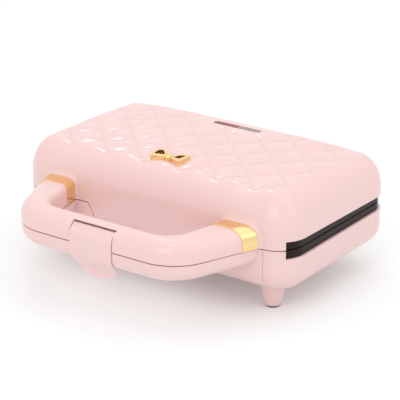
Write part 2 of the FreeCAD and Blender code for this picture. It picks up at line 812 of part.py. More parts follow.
def upper_handle():
    pin_hole = rod("latch_pin_hole", ("-latch_pin_half", "pivot_y", "pivot_height"), "x",
                   "2 * latch_pin_half", "latch_pin_radius + held_gap")
    ways = handle_screws("upper", "wall", "upper_screw_height")
    piece("upper_handle", cut("upper_half", upper_grip, latch_room("upper_latch_room"), pin_hole, *ways))


def lower_handle():
    panel = common("front_panel", base_outside,
                   block("panel_block", ("-panel_x", "-overshoot", "panel_foot_height"),
                         ("panel_x", "panel_thickness", "lower_seam")))
    ways = handle_screws("lower", "recess_y + wall", "lower_screw_height")
    skirt_room = skirt_form("skirt_room", "moving_gap", "recess_y")
    piece("lower_handle", cut("lower_half", fuse("lower_joined", lower_grip, panel),
                              latch_room("lower_latch_room"), skirt_room, *ways))


def handle_bands():
    top = "handle_top_height + band_proud"
    grown = handle_form("band_form", "band_proud", "-collar_reach", "upper_seam", top, top,
                        "upper_round_outer + band_proud", "upper_round_inner + band_proud")
    for name, side in SIDES.items():
        low_x, high_x = on_side(side, "0", "body_width")
        slab = block(f"{name}_band_slab", (low_x, "-collar_reach - band_width", "upper_seam"),
                     (high_x, "-collar_reach", "lid_height"))
        ring = common(f"{name}_band_ring", grown, slab)
        piece(f"{name}_handle_band", cut(f"{name}_band", ring, upper_grip))


def latch():
    bend_z = "pivot_height - latch_bend_drop"
    points = [("latch_front_y", "latch_foot_height"), ("latch_back_y", "latch_foot_height"),
              ("latch_back_y", "pivot_height - barrel_radius / 2"), ("pivot_y", "pivot_height"),
              latch_lip("barrel_radius"), ("latch_front_y", bend_z)]
    plate = prism("latch_plate", "YZ_Plane", points, "-latch_half", "latch_half")

    def foot_corner(edge):
        return level("latch_foot_height")(edge) and edge.BoundBox.YLength > SMALL

    def front_bend(edge):
        return level(bend_z)(edge) and edge.BoundBox.YLength < SMALL

    bent = rounded("latch_bent", plate, (front_bend, "latch_bend"), (foot_corner, "latch_corner"))
    barrel = rod("latch_barrel", ("-latch_half", "pivot_y", "pivot_height"), "x", "latch_width",
                 "barrel_radius")
    bore = rod("latch_bore", ("-latch_width", "pivot_y", "pivot_height"), "x", "2 * latch_width",
               "latch_pin_radius + running_clearance")
    piece("latch", cut("latch_clip", fuse("latch_joined", bent, barrel), bore))
    piece("latch_pin", rod("latch_pivot_pin", ("-latch_pin_half", "pivot_y", "pivot_height"), "x",
                           "2 * latch_pin_half", "latch_pin_radius"))


# Hinge pins, feet and pads

def hinge_pins():
    for name, side in SIDES.items():
        start = (f"{side} * hinge_x - pin_reach", "hinge_y", "seam_height")
        piece(f"{name}_hinge_pin", rod(f"{name}_pin_rod", start, "x", "2 * pin_reach", "hinge_pin_radius"))


def feet():
    end = "foot_pad_thickness - foot_pad_recess"
    for name, (x, y) in foot_spots.items():
        leg = taper(f"{name}_leg", (x, y, end), f"base_height - ({end})",
                    "foot_end_radius", "foot_top_radius")
        spigot = rod(f"{name}_spigot", (x, y, "base_height - way_gap"), "z", "way_gap + spigot_tall",
                     "spigot_radius")
        seat = rod(f"{name}_pad_seat", (x, y, "0"), "z", "foot_pad_thickness", "foot_pad_radius + held_gap")
        piece(f"{name}_foot", cut(f"{name}_foot_cut", fuse(f"{name}_foot_body", leg, spigot), seat))
        pad_rod = rod(f"{name}_pad", (x, y, "0"), "z", "foot_pad_thickness", "foot_pad_radius")
        piece(f"{name}_foot_pad", pad_rod)


# Controls in the base

def thermostat():
    top = "seam_height - back_gap"
    foot = f"{top} - thermostat_tall"
    cup = rod("thermostat_cup", ("0", "cavity_middle_y", foot), "z", "thermostat_tall", "thermostat_radius")
    tags = block("thermostat_tags",
                 ("-thermostat_radius", "cavity_middle_y - tag_width / 2", f"{foot} - tag_tall"),
                 ("thermostat_radius", "cavity_middle_y + tag_width / 2", foot))
    piece("thermostat", fuse("thermostat_body", cup, tags))
    piece("thermal_fuse", rod("fuse_body", ("-fuse_length / 2", "fuse_y", f"{top} - fuse_radius"), "x",
                              "fuse_length", "fuse_radius"))


def terminals():
    half = "terminal_count * terminal_pitch / 2"
    body = block("terminal_body", (f"-{half}", "terminal_y", "floor_top"),
                 (half, "terminal_y + terminal_length", "floor_top + terminal_tall"))
    ways = []
    made = []
    for number in range(int(value("terminal_count"))):
        spot = (f"({number} - (terminal_count - 1) / 2) * terminal_pitch",
                "terminal_y + terminal_length / 2", "floor_top + wall")
        ways.append(rod(f"terminal_way_{number}", spot, "z", "terminal_tall", "screw_radius + held_gap"))
        made.append(rod(f"terminal_screw_{number}", spot, "z", "terminal_screw_tall", "screw_radius"))
    piece("terminal_block", cut("terminal_drilled", body, *ways))
    piece("terminal_screws", group("terminal_screw_set", *made))


def cord_gland():
    start = ("0", "gland_inner_y", "gland_height")
    gland = fuse("gland_body", rod("gland_sleeve", start, "y", "wall + 2 * gland_lip", "gland_radius"),
                 rod("gland_flange_in", start, "y", "gland_lip", "gland_flange"),
                 rod("gland_flange_out", ("0", "body_depth", "gland_height"), "y", "gland_lip",
                     "gland_flange"))
    bore = rod("gland_bore_way", ("0", "gland_inner_y - overshoot", "gland_height"), "y",
               "wall + 2 * (gland_lip + overshoot)", "gland_bore")
    piece("cord_gland", cut("gland_bored", gland, bore))


# Indicator lenses, lamps and lamp board

def indicators():
    window = indicator_slot("lens_form", "fixed_gap", "ceiling - overshoot", "lid_height - lens_recess")
    half_y = "(slot_width / 2 + lens_flange)"
    for name, side in (("power", SIDES["left"]), ("ready", SIDES["right"])):
        low_x, high_x = on_side(side, "fixed_gap / 2", "slot_length / 2 + lens_flange")
        half = block(f"{name}_lens_half", (low_x, f"slot_y - {half_y}", "lens_seat"),
                     (high_x, f"slot_y + {half_y}", "lid_height"))
        flange = block(f"{name}_lens_flange", (low_x, f"slot_y - {half_y}", "lens_seat - lens_flange_tall"),
                       (high_x, f"slot_y + {half_y}", "lens_seat"))
        piece(f"{name}_lens", fuse(f"{name}_lens_body", common(f"{name}_lens_window", window, half), flange))
        lamp_foot = (f"{side} * slot_length / 4", "slot_y", "board_top")
        piece(f"{name}_lamp", rod(f"{name}_lamp_body", lamp_foot, "z",
                                  "lens_seat - lens_flange_tall - fixed_gap - board_top", "lamp_radius"))
    reach = "(board_post_x + board_post_radius)"
    piece("lamp_board", block("board", (f"-{reach}", "slot_y - slot_width", "board_top - board_thickness"),
                              (reach, "slot_y + slot_width", "board_top")))


# Bow ornament on the lid

def bow_loop(name, side, near, far, neck, flare, low, high):
    """A wedge from the bow's neck out to the flared end of one loop."""
    points = [(f"{side} * ({near})", f"bow_y - ({neck})"), (f"{side} * ({far})", f"bow_y - ({flare})"),
              (f"{side} * ({far})", f"bow_y + {flare}"), (f"{side} * ({near})", f"bow_y + {neck}")]
    return prism(name, "XY_Plane", points, low, high)


def bow_ornament():
    def loop_end(edge):
        return upright(edge) and abs(edge.CenterOfMass.x) > value("bow_half / 2")

    parts = []
    for name, side in SIDES.items():
        loop = bow_loop(f"{name}_loop", side, "0", "bow_half", "bow_neck", "bow_flare",
                        "bow_seat", "lid_height + bow_tall")
        opening = bow_loop(f"{name}_loop_hole", side, "knot_half + ribbon / 2", "bow_half - ribbon",
                           "bow_neck - ribbon / 2", "bow_flare - ribbon",
                           "lid_height - overshoot", "lid_height + overshoot")
        soft_loop = rounded(f"{name}_loop_round", loop, (loop_end, "ribbon"))
        parts.append(cut(f"{name}_loop_ring", soft_loop, opening))
    knot = block("knot_block", ("-knot_half", "bow_y - knot_half", "bow_seat"),
                 ("knot_half", "bow_y + knot_half", "lid_height + knot_tall"))
    parts.append(rounded("knot", knot, (away(level("bow_seat")), "ribbon / 2")))
    parts.append(rod("bow_stud", ("0", "bow_y", "ceiling - wall"), "z", "2 * wall + bow_tall / 2",
                     "stud_radius"))
    piece("bow_ornament", fuse("bow", *parts))


lid_shell()
base_shell()
for level_name, level_turn in LEVELS.items():
    waffle_plate(f"{level_name}_plate", level_turn)
    heating_element(f"{level_name}_heating_element", level_turn)
    reflector_pan(f"{level_name}_reflector", level_turn)
upper_handle()
lower_handle()
handle_bands()
latch()
hinge_pins()
feet()
thermostat()
terminals()
cord_gland()
indicators()
bow_ornament()

doc.recompute()
faults = [item.Name for item in doc.Objects if {"Invalid", "Error"} & set(item.State)]
faults += [item.Label for item in pieces if item.Shape.isNull() or not item.Shape.isValid()]
if faults:
    raise SystemExit("Failed objects: " + ", ".join(faults))

os.makedirs("parts", exist_ok=True)
for item in pieces:
    item.Shape.exportStep(f"parts/{item.Label}.step")
    print(item.Label, len(item.Shape.Solids), round(item.Shape.Volume, 1))
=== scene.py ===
import json
import math

import bmesh
import bpy
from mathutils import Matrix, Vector


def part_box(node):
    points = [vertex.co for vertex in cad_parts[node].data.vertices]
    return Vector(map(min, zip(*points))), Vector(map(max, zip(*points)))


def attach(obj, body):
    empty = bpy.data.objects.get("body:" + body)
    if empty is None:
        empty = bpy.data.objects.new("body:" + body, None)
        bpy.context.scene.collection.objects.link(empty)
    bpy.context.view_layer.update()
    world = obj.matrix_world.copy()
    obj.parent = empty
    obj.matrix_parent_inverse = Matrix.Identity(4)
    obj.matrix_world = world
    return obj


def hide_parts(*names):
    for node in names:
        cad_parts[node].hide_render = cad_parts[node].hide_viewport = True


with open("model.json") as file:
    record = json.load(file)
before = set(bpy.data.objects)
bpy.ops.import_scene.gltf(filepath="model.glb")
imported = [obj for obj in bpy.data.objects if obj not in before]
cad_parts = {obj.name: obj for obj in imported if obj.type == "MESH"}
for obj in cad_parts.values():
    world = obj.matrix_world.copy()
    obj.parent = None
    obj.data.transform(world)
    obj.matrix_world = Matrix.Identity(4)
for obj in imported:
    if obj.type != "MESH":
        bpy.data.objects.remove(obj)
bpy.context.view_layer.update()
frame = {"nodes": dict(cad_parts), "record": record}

MM = 0.001
NODES = frame["nodes"]
BODY_OF = {node: body for body, nodes in frame["record"]["behaviour"]["bodies"].items() for node in nodes}
SLOT_OF = {row["node"]: row["material_slot"] for row in frame["record"]["subparts"]}


# Materials

# Nearly all of a noise's values lie between these two.
NOISE_LOW, NOISE_HIGH = 0.3, 0.7
PATCH_DETAIL, GRAIN_DETAIL = 2.0, 3.0


def srgb(code):
    """A hex colour as the linear values a shader takes."""
    parts = [int(code[i:i + 2], 16) / 255 for i in (1, 3, 5)]
    return tuple(p / 12.92 if p <= 0.04045 else ((p + 0.055) / 1.055) ** 2.4 for p in parts) + (1.0,)


def add(tree, kind, links=None, **settings):
    """Adds a node with its settings, and fills or links each input that is named."""
    made = tree.nodes.new("ShaderNode" + kind)
    for name, setting in settings.items():
        setattr(made, name, setting)
    for name, source in (links or {}).items():
        if isinstance(source, bpy.types.NodeSocket):
            tree.links.new(source, made.inputs[name])
        else:
            made.inputs[name].default_value = source
    return made


def per_mm(size):
    """The scale of a pattern whose features are this many millimetres across."""
    return 1 / (size * MM)


def finish_of(name, light, dark, patch, grain, rough, relief, painted_crease_shade=None, **sockets):
    """A surface with two close colours in soft patches, a fine grain in its gloss and a fine relief.

    patch and grain are sizes in millimetres, rough is the range of the roughness, and relief is the bump's
    depth in millimetres. The last colour, when given, is painted shade: a deeper pink that the surface takes
    where its mesh marks a stitched line, in place of the shade that falls into the crease.
    """
    made = bpy.data.materials.new(name)
    made.use_nodes = True
    tree = made.node_tree
    shader = tree.nodes["Principled BSDF"]
    place = add(tree, "TexCoord").outputs["Object"]
    patches = add(tree, "TexNoise", {"Vector": place, "Scale": per_mm(patch), "Detail": PATCH_DETAIL})
    colour = add(tree, "MixRGB", {"Fac": patches.outputs["Fac"], "Color1": srgb(dark), "Color2": srgb(light)})
    # Painted shade: the surface takes the deeper colour where the mesh marks a stitched line.
    if painted_crease_shade:
        painted_shade = add(tree, "Attribute", attribute_name="painted_crease_shade")
        colour = add(tree, "MixRGB", {"Fac": painted_shade.outputs["Fac"], "Color1": colour.outputs["Color"],
                                      "Color2": srgb(painted_crease_shade)})
    fine = add(tree, "TexNoise", {"Vector": place, "Scale": per_mm(grain), "Detail": GRAIN_DETAIL})
    gloss = add(tree, "MapRange", {"Value": fine.outputs["Fac"],
                                   "From Min": NOISE_LOW, "From Max": NOISE_HIGH,
                                   "To Min": rough[0], "To Max": rough[1]})
    bump = add(tree, "Bump", {"Height": fine.outputs["Fac"], "Distance": relief * MM, "Strength": 1.0})
    tree.links.new(colour.outputs["Color"], shader.inputs["Base Color"])
    tree.links.new(gloss.outputs["Result"], shader.inputs["Roughness"])
    tree.links.new(bump.outputs["Normal"], shader.inputs["Normal"])
    for socket, setting in sockets.items():
        shader.inputs[socket.replace("_", " ")].default_value = setting
    return made


FINISHES = {
    # Injection moulded ABS from a polished tool: even, glossy pink with faint flow marks and orange peel.
    # The deeper pink is painted shade along the stitched lines, in place of the shade in their creases.
    "pink_abs": finish_of("gloss_moulded_pink_abs", "#F6D3D0", "#F4CFCC", painted_crease_shade="#F1CAC7",
                          patch=45, grain=1.6, rough=(0.17, 0.23), relief=0.002, IOR=1.53),
    # Polished brass with gold plating: a bright warm mirror with a trace of polishing haze.
    "gold_plating": finish_of("polished_gold_plating", "#FADBA3", "#F3CD90",
                              patch=8, grain=0.7, rough=(0.10, 0.17), relief=0.002, Metallic=1.0),
    # Sprayed non-stick coating on cast aluminium: near black, half matt, with a fine spray speckle.
    "non_stick_coating": finish_of("sprayed_non_stick_coating", "#2B1B1B", "#1F1313",
                                   patch=1.0, grain=0.5, rough=(0.34, 0.48), relief=0.012,
                                   IOR=1.38, Specular_IOR_Level=0.3),
    # Clear red tinted acrylic, moulded: a dark glossy window that glows only when lit.
    "red_lens": finish_of("moulded_red_acrylic", "#8E2A26", "#7A211F",
                          patch=6, grain=1.2, rough=(0.10, 0.16), relief=0.002, IOR=1.49),
    # Grey tinted acrylic, moulded: a smoky glossy window.
    "grey_lens": finish_of("moulded_grey_acrylic", "#9C8A8B", "#8C7B7C",
                           patch=6, grain=1.2, rough=(0.10, 0.16), relief=0.002, IOR=1.49),
    # Moulded rubber: dark and matt, with a dusty grain.
    "black_rubber": finish_of("moulded_black_rubber", "#3B3034", "#2E262A",
                              patch=3, grain=0.5, rough=(0.60, 0.75), relief=0.02, IOR=1.52),
    # Zinc plated steel: pale grey metal with a mottled, half bright skin.
    "zinc_steel": finish_of("zinc_plated_steel", "#C6C7CB", "#AEB0B6",
                            patch=2.5, grain=0.6, rough=(0.24, 0.36), relief=0.006, Metallic=1.0),
    # Drawn and heat tinted steel tube: dull brownish grey metal.
    "element_sheath": finish_of("drawn_heat_tinted_steel", "#958F88", "#7A716A",
                                patch=5, grain=0.6, rough=(0.36, 0.50), relief=0.006, Metallic=1.0),
    # Rolled aluminium sheet: pale, softly clouded metal.
    "pan_sheet": finish_of("rolled_aluminium_sheet", "#D6D7D9", "#C3C5C8",
                           patch=9, grain=0.8, rough=(0.26, 0.38), relief=0.005, Metallic=1.0),
    # Compression moulded phenolic: dark brown, half matt, with a mottled filler.
    "phenolic": finish_of("moulded_phenolic", "#3F3430", "#302724",
                          patch=2, grain=0.5, rough=(0.42, 0.55), relief=0.01, IOR=1.60),
    # Pressed and fired ceramic, unglazed: chalky off-white.
    "ceramic": finish_of("unglazed_ceramic", "#EFEADF", "#E2DBCD",
                         patch=3, grain=0.4, rough=(0.70, 0.82), relief=0.02, IOR=1.55),
    # Blown lamp glass: clear, with a faint warm tint.
    "lamp_glass": finish_of("blown_lamp_glass", "#F6E3D6", "#F0D8C8",
                            patch=4, grain=1.0, rough=(0.03, 0.08), relief=0.002, IOR=1.50,
                            Transmission_Weight=0.85),
    # Pressed paper laminate: tan board with a fibrous fleck.
    "board_laminate": finish_of("pressed_paper_laminate", "#B79662", "#A4834F",
                                patch=2, grain=0.4, rough=(0.50, 0.65), relief=0.008, IOR=1.55),
}

# Painted shade in the hollows of the bow's loops: brass coloured brown and dull, in place of the shade that
# falls in them.
BOW_HOLLOW_SHADE = finish_of("painted_shade_bow_hollows", "#C58F49", "#8F6228",
                       patch=3, grain=0.6, rough=(0.30, 0.45), relief=0.006, Metallic=1.0)


# Meshes

# Edges that turn by more than this many degrees are sharp.
SHARP_TURN = 32.0
# CAD vertices within this gap in millimetres are one, and facets that turn by fewer degrees are one face.
WELD_GAP, FLAT_TURN = 0.002, 0.4


def new_piece(name, mesh, body, slot, sharp=SHARP_TURN):
    """A piece of the object from a mesh in millimetres that rides on a body and takes a slot's finish."""
    for vertex in mesh.vertices:
        vertex.co *= MM
    mesh.shade_smooth()
    mesh.set_sharp_from_angle(angle=math.radians(sharp))
    mesh.materials.append(FINISHES[slot])
    piece = bpy.data.objects.new(name, mesh)
    bpy.context.collection.objects.link(piece)
    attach(piece, body)
    return piece


def mesh_of(name, bm):
    """A mesh from a bmesh, which is freed."""
    bmesh.ops.recalc_face_normals(bm, faces=bm.faces)
    mesh = bpy.data.meshes.new(name)
    bm.to_mesh(mesh)
    bm.free()
    return mesh


def closed_tube(bm, rings):
    """Faces from each ring of vertices to the next, with both ends closed. The far end is the last face."""
    count = len(rings[0])
    faces = [bm.faces.new(rings[0])]
    for low, high in zip(rings, rings[1:]):
        for k in range(count):
            faces.append(bm.faces.new((low[k], low[(k + 1) % count], high[(k + 1) % count], high[k])))
    return faces + [bm.faces.new(rings[-1])]


def soften_edges(piece, width, segments=3):
    """Rounds a piece's sharp edges, by a width in millimetres, as a mould or a polishing wheel does."""
    bevel = piece.modifiers.new("worn_edge", "BEVEL")
    bevel.width = width * MM
    bevel.segments = segments
    bevel.limit_method = "ANGLE"
    bevel.angle_limit = math.radians(SHARP_TURN)
    bevel.harden_normals = True


def cad_copy(node):
    """A welded copy of a CAD node's mesh in millimetres, with the facets of its flat faces joined."""
    bm = bmesh.new()
    bm.from_mesh(NODES[node].data)
    bmesh.ops.scale(bm, vec=(1 / MM,) * 3, verts=bm.verts)
    bmesh.ops.remove_doubles(bm, verts=bm.verts, dist=WELD_GAP)
    bmesh.ops.dissolve_limit(bm, angle_limit=math.radians(FLAT_TURN), verts=bm.verts, edges=bm.edges)
    return bm


def plain_mesh(name, bm):
    """The bmesh's shape alone, with none of the layers that the CAD file brought."""
    bm.verts.index_update()
    mesh = bpy.data.meshes.new(name)
    mesh.from_pydata([v.co for v in bm.verts], [], [[v.index for v in f.verts] for f in bm.faces])
    bm.free()
    return mesh


def softened(node, name, width):
    """The CAD node's own shape with rounded edges."""
    piece = new_piece(name, plain_mesh(name, cad_copy(node)), BODY_OF[node], SLOT_OF[node])
    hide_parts(node)
    soften_edges(piece, width)


def ease(value, low, high):
    """0 below low, 1 above high, and smooth between."""
    t = min(max((value - low) / (high - low), 0.0), 1.0)
    return t * t * (3 - 2 * t)


# The quilted lid, in millimetres

HALF_WIDTH = 118.5
FRONT, REAR = -43.35, 94.65
MID_Y, HALF_DEPTH = (FRONT + REAR) / 2, (REAR - FRONT) / 2
FRONT_CORNER, REAR_CORNER = 22.0, 20.0
LID_TOP, LID_ROUND, LID_SHOULDER, LID_FOOT, LID_WALL = 90.0, 19.0, 26.0, 52.4, 2.2
WALL_TOP = LID_TOP - LID_SHOULDER
# The top's crown, and the drop of its rear corners over these ranges of half width and depth.
LID_CROWN, REAR_DROP, DROP_WIDTH, DROP_DEPTH = 0.8, 2.2, (60.0, 118.0), (30.0, REAR)
# The upper edge of the dark strip, which falls towards the rear.
STRIP_FRONT, STRIP_HIGH, STRIP_FALL, STRIP_RUN = FRONT + 6.8, 58.5, 1.3, 131.1
# The skirt between the handle's arms: half its width at its top and its end, and the height of its end.
SKIRT_TOP, SKIRT_END, SKIRT_FOOT = 54.0, 45.0, 36.0
# The slot of the indicator windows.
SLOT_HALF, SLOT_ROUND, SLOT_Y = 21.0, 3.0, 68.65
# The stitched lines, their pitch along the width, and the pillows between them.
QUILT_PITCH, QUILT_Y, QUILT_DEPTH, QUILT_PUFF = 32.0, 20.65, 2.0, 0.6
# How round the valleys of the stitched lines are, and where the shade painted along them has faded out.
STITCH_ROUND, STITCH_SHADE_FADE = 0.11, 0.26
# Over these distances from the sides, the front and the slot, the quilting rises to its full depth.
SIDE_MARGIN, FRONT_MARGIN, SLOT_MARGIN = (9.0, 24.0), (7.0, 17.0), (1.5, 7.0)
FRONT_MARGIN_DEPTH, FRONT_MARGIN_HALF = 30.0, 96.0
ROUND_STEPS, WALL_STEPS, SKIRT_STEPS = 13, 4, 8


def lid_lines():
    """The x and y lines of the lid's grid, 1 mm apart on the flat top, so that stitches meet its corners."""
    bend = [math.sin(math.radians(90) * i / ROUND_STEPS) * LID_ROUND for i in range(1, ROUND_STEPS + 1)]
    corner, edge = HALF_WIDTH - FRONT_CORNER, HALF_WIDTH - LID_ROUND
    half = [float(i) for i in range(1, math.ceil(corner))]
    half += [corner + i for i in range(round(edge - corner) + 1)] + [edge + b for b in bend]
    xs = [-x for x in reversed(half)] + [0.0] + half
    # The line that the corner carries to the front end of the dark strip.
    notch = FRONT + FRONT_CORNER - (FRONT_CORNER - (STRIP_FRONT - FRONT)) * math.sqrt(2)
    ys = sorted([FRONT + LID_ROUND - b for b in bend] + [notch, FRONT + LID_ROUND])
    ys += [FRONT + LID_ROUND + (FRONT_CORNER - LID_ROUND) / 2]
    ys += [FRONT + FRONT_CORNER + i for i in range(round(REAR - REAR_CORNER - FRONT - FRONT_CORNER) + 1)]
    ys += [REAR - LID_ROUND] + [REAR - LID_ROUND + b for b in bend]
    return xs, ys, notch


def lid_plan(x, y):
    """Where a grid point lies in plan, its inset from the wall, and the wall's direction there."""
    side = math.copysign(1, x)
    front = y < FRONT + FRONT_CORNER
    radius = FRONT_CORNER if front else REAR_CORNER
    centre = (HALF_WIDTH - radius, FRONT + radius if front else REAR - radius)
    across = (abs(x) - centre[0]) / radius
    along = ((centre[1] - y) if front else (y - centre[1])) / radius
    if across > 0 and along > 0:
        a, b = across * math.sqrt(1 - along ** 2 / 2), along * math.sqrt(1 - across ** 2 / 2)
        reach = math.hypot(a, b)
        way = (side * a / reach, (-b if front else b) / reach)
        place = (side * (centre[0] + a * radius), centre[1] + (-b if front else b) * radius)
        return place, radius * (1 - reach), way
    insets = [(HALF_WIDTH - abs(x), (side, 0.0)), (y - FRONT, (0.0, -1.0)), (REAR - y, (0.0, 1.0))]
    inset, way = min(insets)
    return (x, y), inset, way


def quilt_ways(x, y):
    """How far a place is across each of the two sets of stitched lines, measured along the width."""
    return x + y - QUILT_Y, x - y + QUILT_Y


def off_stitch(way):
    """How far a place is from the nearest stitched line of a set, in pitches."""
    return abs((way / QUILT_PITCH + 0.5) % 1 - 0.5)


def quilt_swell(x, y):
    """The pillows' swell across each set of stitched lines, 0 in the line and 1 midway."""
    return [math.hypot(math.sin(math.pi * way / QUILT_PITCH), STITCH_ROUND) / math.hypot(1, STITCH_ROUND)
            for way in quilt_ways(x, y)]


def quilt_margin(x, y, inset):
    """1 on the quilted field, falling to 0 on the smooth shoulders and round the slot."""
    if y > FRONT + FRONT_MARGIN_DEPTH or abs(x) > FRONT_MARGIN_HALF:
        margin = ease(inset, *SIDE_MARGIN)
    else:
        margin = ease(y - FRONT, *FRONT_MARGIN)
    off_slot = max(abs(x) - SLOT_HALF, abs(y - SLOT_Y) - SLOT_ROUND)
    return margin * ease(off_slot, *SLOT_MARGIN)


def quilt_dip(x, y, inset):
    """How far the skin sinks towards the stitched lines, 0 on a pillow's crown and on the smooth margins."""
    swell = quilt_swell(x, y)
    return QUILT_DEPTH * (1 - (swell[0] * swell[1]) ** QUILT_PUFF) * quilt_margin(x, y, inset)


def stitch_shade_share(x, y):
    """The share of painted shade: 1 in a stitched line, falling to 0 within about 3 mm of it."""
    return 1 - ease(min(quilt_swell(x, y)), STITCH_ROUND, STITCH_SHADE_FADE)


def lid_point(x, y):
    """A point of the lid's outer skin over the plan."""
    (px, py), inset, way = lid_plan(x, y)
    turn = max(LID_ROUND - inset, 0.0) / LID_ROUND
    lift = math.sqrt(max(1 - turn ** 2, 0.0))
    normal = Vector((way[0] * turn, way[1] * turn, lift))
    crown = LID_CROWN * lift * (1 - (px / HALF_WIDTH) ** 2) * (1 - ((py - MID_Y) / HALF_DEPTH) ** 2)
    crown -= LID_CROWN + REAR_DROP * lift * ease(abs(px), *DROP_WIDTH) * ease(py, *DROP_DEPTH)
    point = Vector((px, py, WALL_TOP + LID_SHOULDER * lift + crown))
    return point - normal * quilt_dip(px, py, inset)


def slot_point(x, y):
    """Carries the slot's square end onto its round end."""
    a, b = (abs(x) - (SLOT_HALF - SLOT_ROUND)) / SLOT_ROUND, (y - SLOT_Y) / SLOT_ROUND
    if 0 <= a <= 1 and abs(b) <= 1:
        a, b = a * math.sqrt(1 - b ** 2 / 2), b * math.sqrt(1 - a ** 2 / 2)
        return math.copysign(SLOT_HALF - SLOT_ROUND + a * SLOT_ROUND, x), SLOT_Y + b * SLOT_ROUND
    return x, y


def quilted_top(bm, xs, ys):
    """The lid's top with its slot and rounded shoulders, each face split along the nearer stitched line."""
    grid = [[bm.verts.new(lid_point(*slot_point(x, y))) for x in xs] for y in ys]
    for j in range(len(ys) - 1):
        for i in range(len(xs) - 1):
            mid_x, mid_y = (xs[i] + xs[i + 1]) / 2, (ys[j] + ys[j + 1]) / 2
            if abs(mid_x) < SLOT_HALF and abs(mid_y - SLOT_Y) < SLOT_ROUND:
                continue
            a, b, c, d = grid[j][i], grid[j][i + 1], grid[j + 1][i + 1], grid[j + 1][i]
            falling, rising = (off_stitch(way) for way in quilt_ways(mid_x, mid_y))
            for corners in ([(a, b, c), (a, c, d)] if rising < falling else [(a, b, d), (b, c, d)]):
                bm.faces.new(corners)
    return grid


def lid_walls(bm, grid, ys, notch):
    """The lid's walls, down to the seam in front and to the dark strip elsewhere, and the skirt."""
    # The rim starts at the left end of the front and runs by the right and the rear to the left side.
    last_x, last_y = len(grid[0]) - 1, len(grid) - 1
    rim = [(0, i) for i in range(last_x)] + [(j, last_x) for j in range(last_y)]
    rim += [(last_y, i) for i in range(last_x, 0, -1)] + [(j, 0) for j in range(last_y, 0, -1)]
    wall_shares = [k / WALL_STEPS for k in range(1, WALL_STEPS + 1)]
    skirt_shares = [k / SKIRT_STEPS for k in range(1, SKIRT_STEPS + 1)]
    columns = []
    for j, i in rim:
        top = grid[j][i]
        x, y, z = top.co
        fall = max(y - STRIP_FRONT, 0.0) * STRIP_FALL / STRIP_RUN
        places = [(x, z + (STRIP_HIGH - fall - z) * share) for share in wall_shares]
        if ys[j] <= notch:
            places += [(x, STRIP_HIGH + (LID_FOOT - STRIP_HIGH) * share) for share in wall_shares]
        if j == 0 and abs(x) <= SKIRT_TOP:
            places += [(x * (1 - share * (1 - SKIRT_END / SKIRT_TOP)),
                        LID_FOOT + (SKIRT_FOOT - LID_FOOT) * share) for share in skirt_shares]
        columns.append([top] + [bm.verts.new((px, y, pz)) for px, pz in places])
    for one, two in zip(columns, columns[1:] + columns[:1]):
        for k in range(min(len(one), len(two)) - 1):
            bm.faces.new((one[k], one[k + 1], two[k + 1], two[k]))


def quilted_lid():
    """The lid's moulded shell, whose mesh marks how near each point lies to a stitched line, for the shade
    painted there.
    """
    xs, ys, notch = lid_lines()
    bm = bmesh.new()
    lid_walls(bm, quilted_top(bm, xs, ys), ys, notch)
    mesh = mesh_of("quilted_lid", bm)
    # Painted shade: a share from 0 to 1 of the deeper pink, along the stitched lines of the quilted field.
    painted_shade_layer = mesh.attributes.new("painted_crease_shade", "FLOAT", "POINT")
    for vertex, painted_shade in zip(mesh.vertices, painted_shade_layer.data):
        x, y, z = vertex.co
        if z > WALL_TOP:
            painted_shade.value = stitch_shade_share(x, y) * quilt_margin(x, y, lid_plan(x, y)[1])
    piece = new_piece("quilted_lid", mesh, "lid", "pink_abs", sharp=60)
    wall = piece.modifiers.new("wall", "SOLIDIFY")
    wall.thickness = LID_WALL * MM
    wall.offset = -1
    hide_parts("lid_shell")
    soften_edges(piece, width=0.35, segments=2)


# Collars and hinge eyes of the lid, in millimetres

ARM_INNER, ARM_OUTER, ARM_TOP = 65.5, 94.5, 67.5
ARM_OUTER_ROUND, ARM_INNER_ROUND = 10.0, 5.0
OUTER_STEPS, INNER_STEPS, ARC_STEPS, FLARE_STEPS = 4, 5, 12, 8
# The collar's reach before the lid, its flare, how proud it stands of the arm, and its sink into lid and arm.
COLLAR_REACH, COLLAR_FLARE, COLLAR_PROUD, LID_SINK, ARM_SINK = 1.5, 5.0, 0.7, 0.25, 0.6
# The hinge eyes start just behind the rear wall, and their roots reach this far back into it.
EYE_START, EYE_ROOT = REAR + 0.02, 1.0


def arm_outline(side):
    """The arch of an arm at its root: points with their outward directions, from outer foot to inner foot."""
    outer_top, inner_top = ARM_TOP - ARM_OUTER_ROUND, ARM_TOP - ARM_INNER_ROUND
    points = [((ARM_OUTER, LID_FOOT + (outer_top - LID_FOOT) * k / OUTER_STEPS), (1.0, 0.0))
              for k in range(OUTER_STEPS)]
    for centre_x, centre_z, radius, start in ((ARM_OUTER - ARM_OUTER_ROUND, outer_top, ARM_OUTER_ROUND, 0),
                                              (ARM_INNER + ARM_INNER_ROUND, inner_top, ARM_INNER_ROUND, 90)):
        for k in range(ARC_STEPS + 1):
            turn = math.radians(start + 90 * k / ARC_STEPS)
            way = (math.cos(turn), math.sin(turn))
            points.append(((centre_x + radius * way[0], centre_z + radius * way[1]), way))
    points += [((ARM_INNER, inner_top - (inner_top - LID_FOOT) * k / INNER_STEPS), (-1.0, 0.0))
               for k in range(1, INNER_STEPS + 1)]
    return [((side * x, z), (side * nx, nz)) for (x, z), (nx, nz) in points]


def shoulder_inset(z):
    """How far the front's shoulder has drawn back from the wall at a height."""
    rise = max(z - WALL_TOP, 0.0) / LID_SHOULDER
    return LID_ROUND * (1 - math.sqrt(1 - rise ** 2))


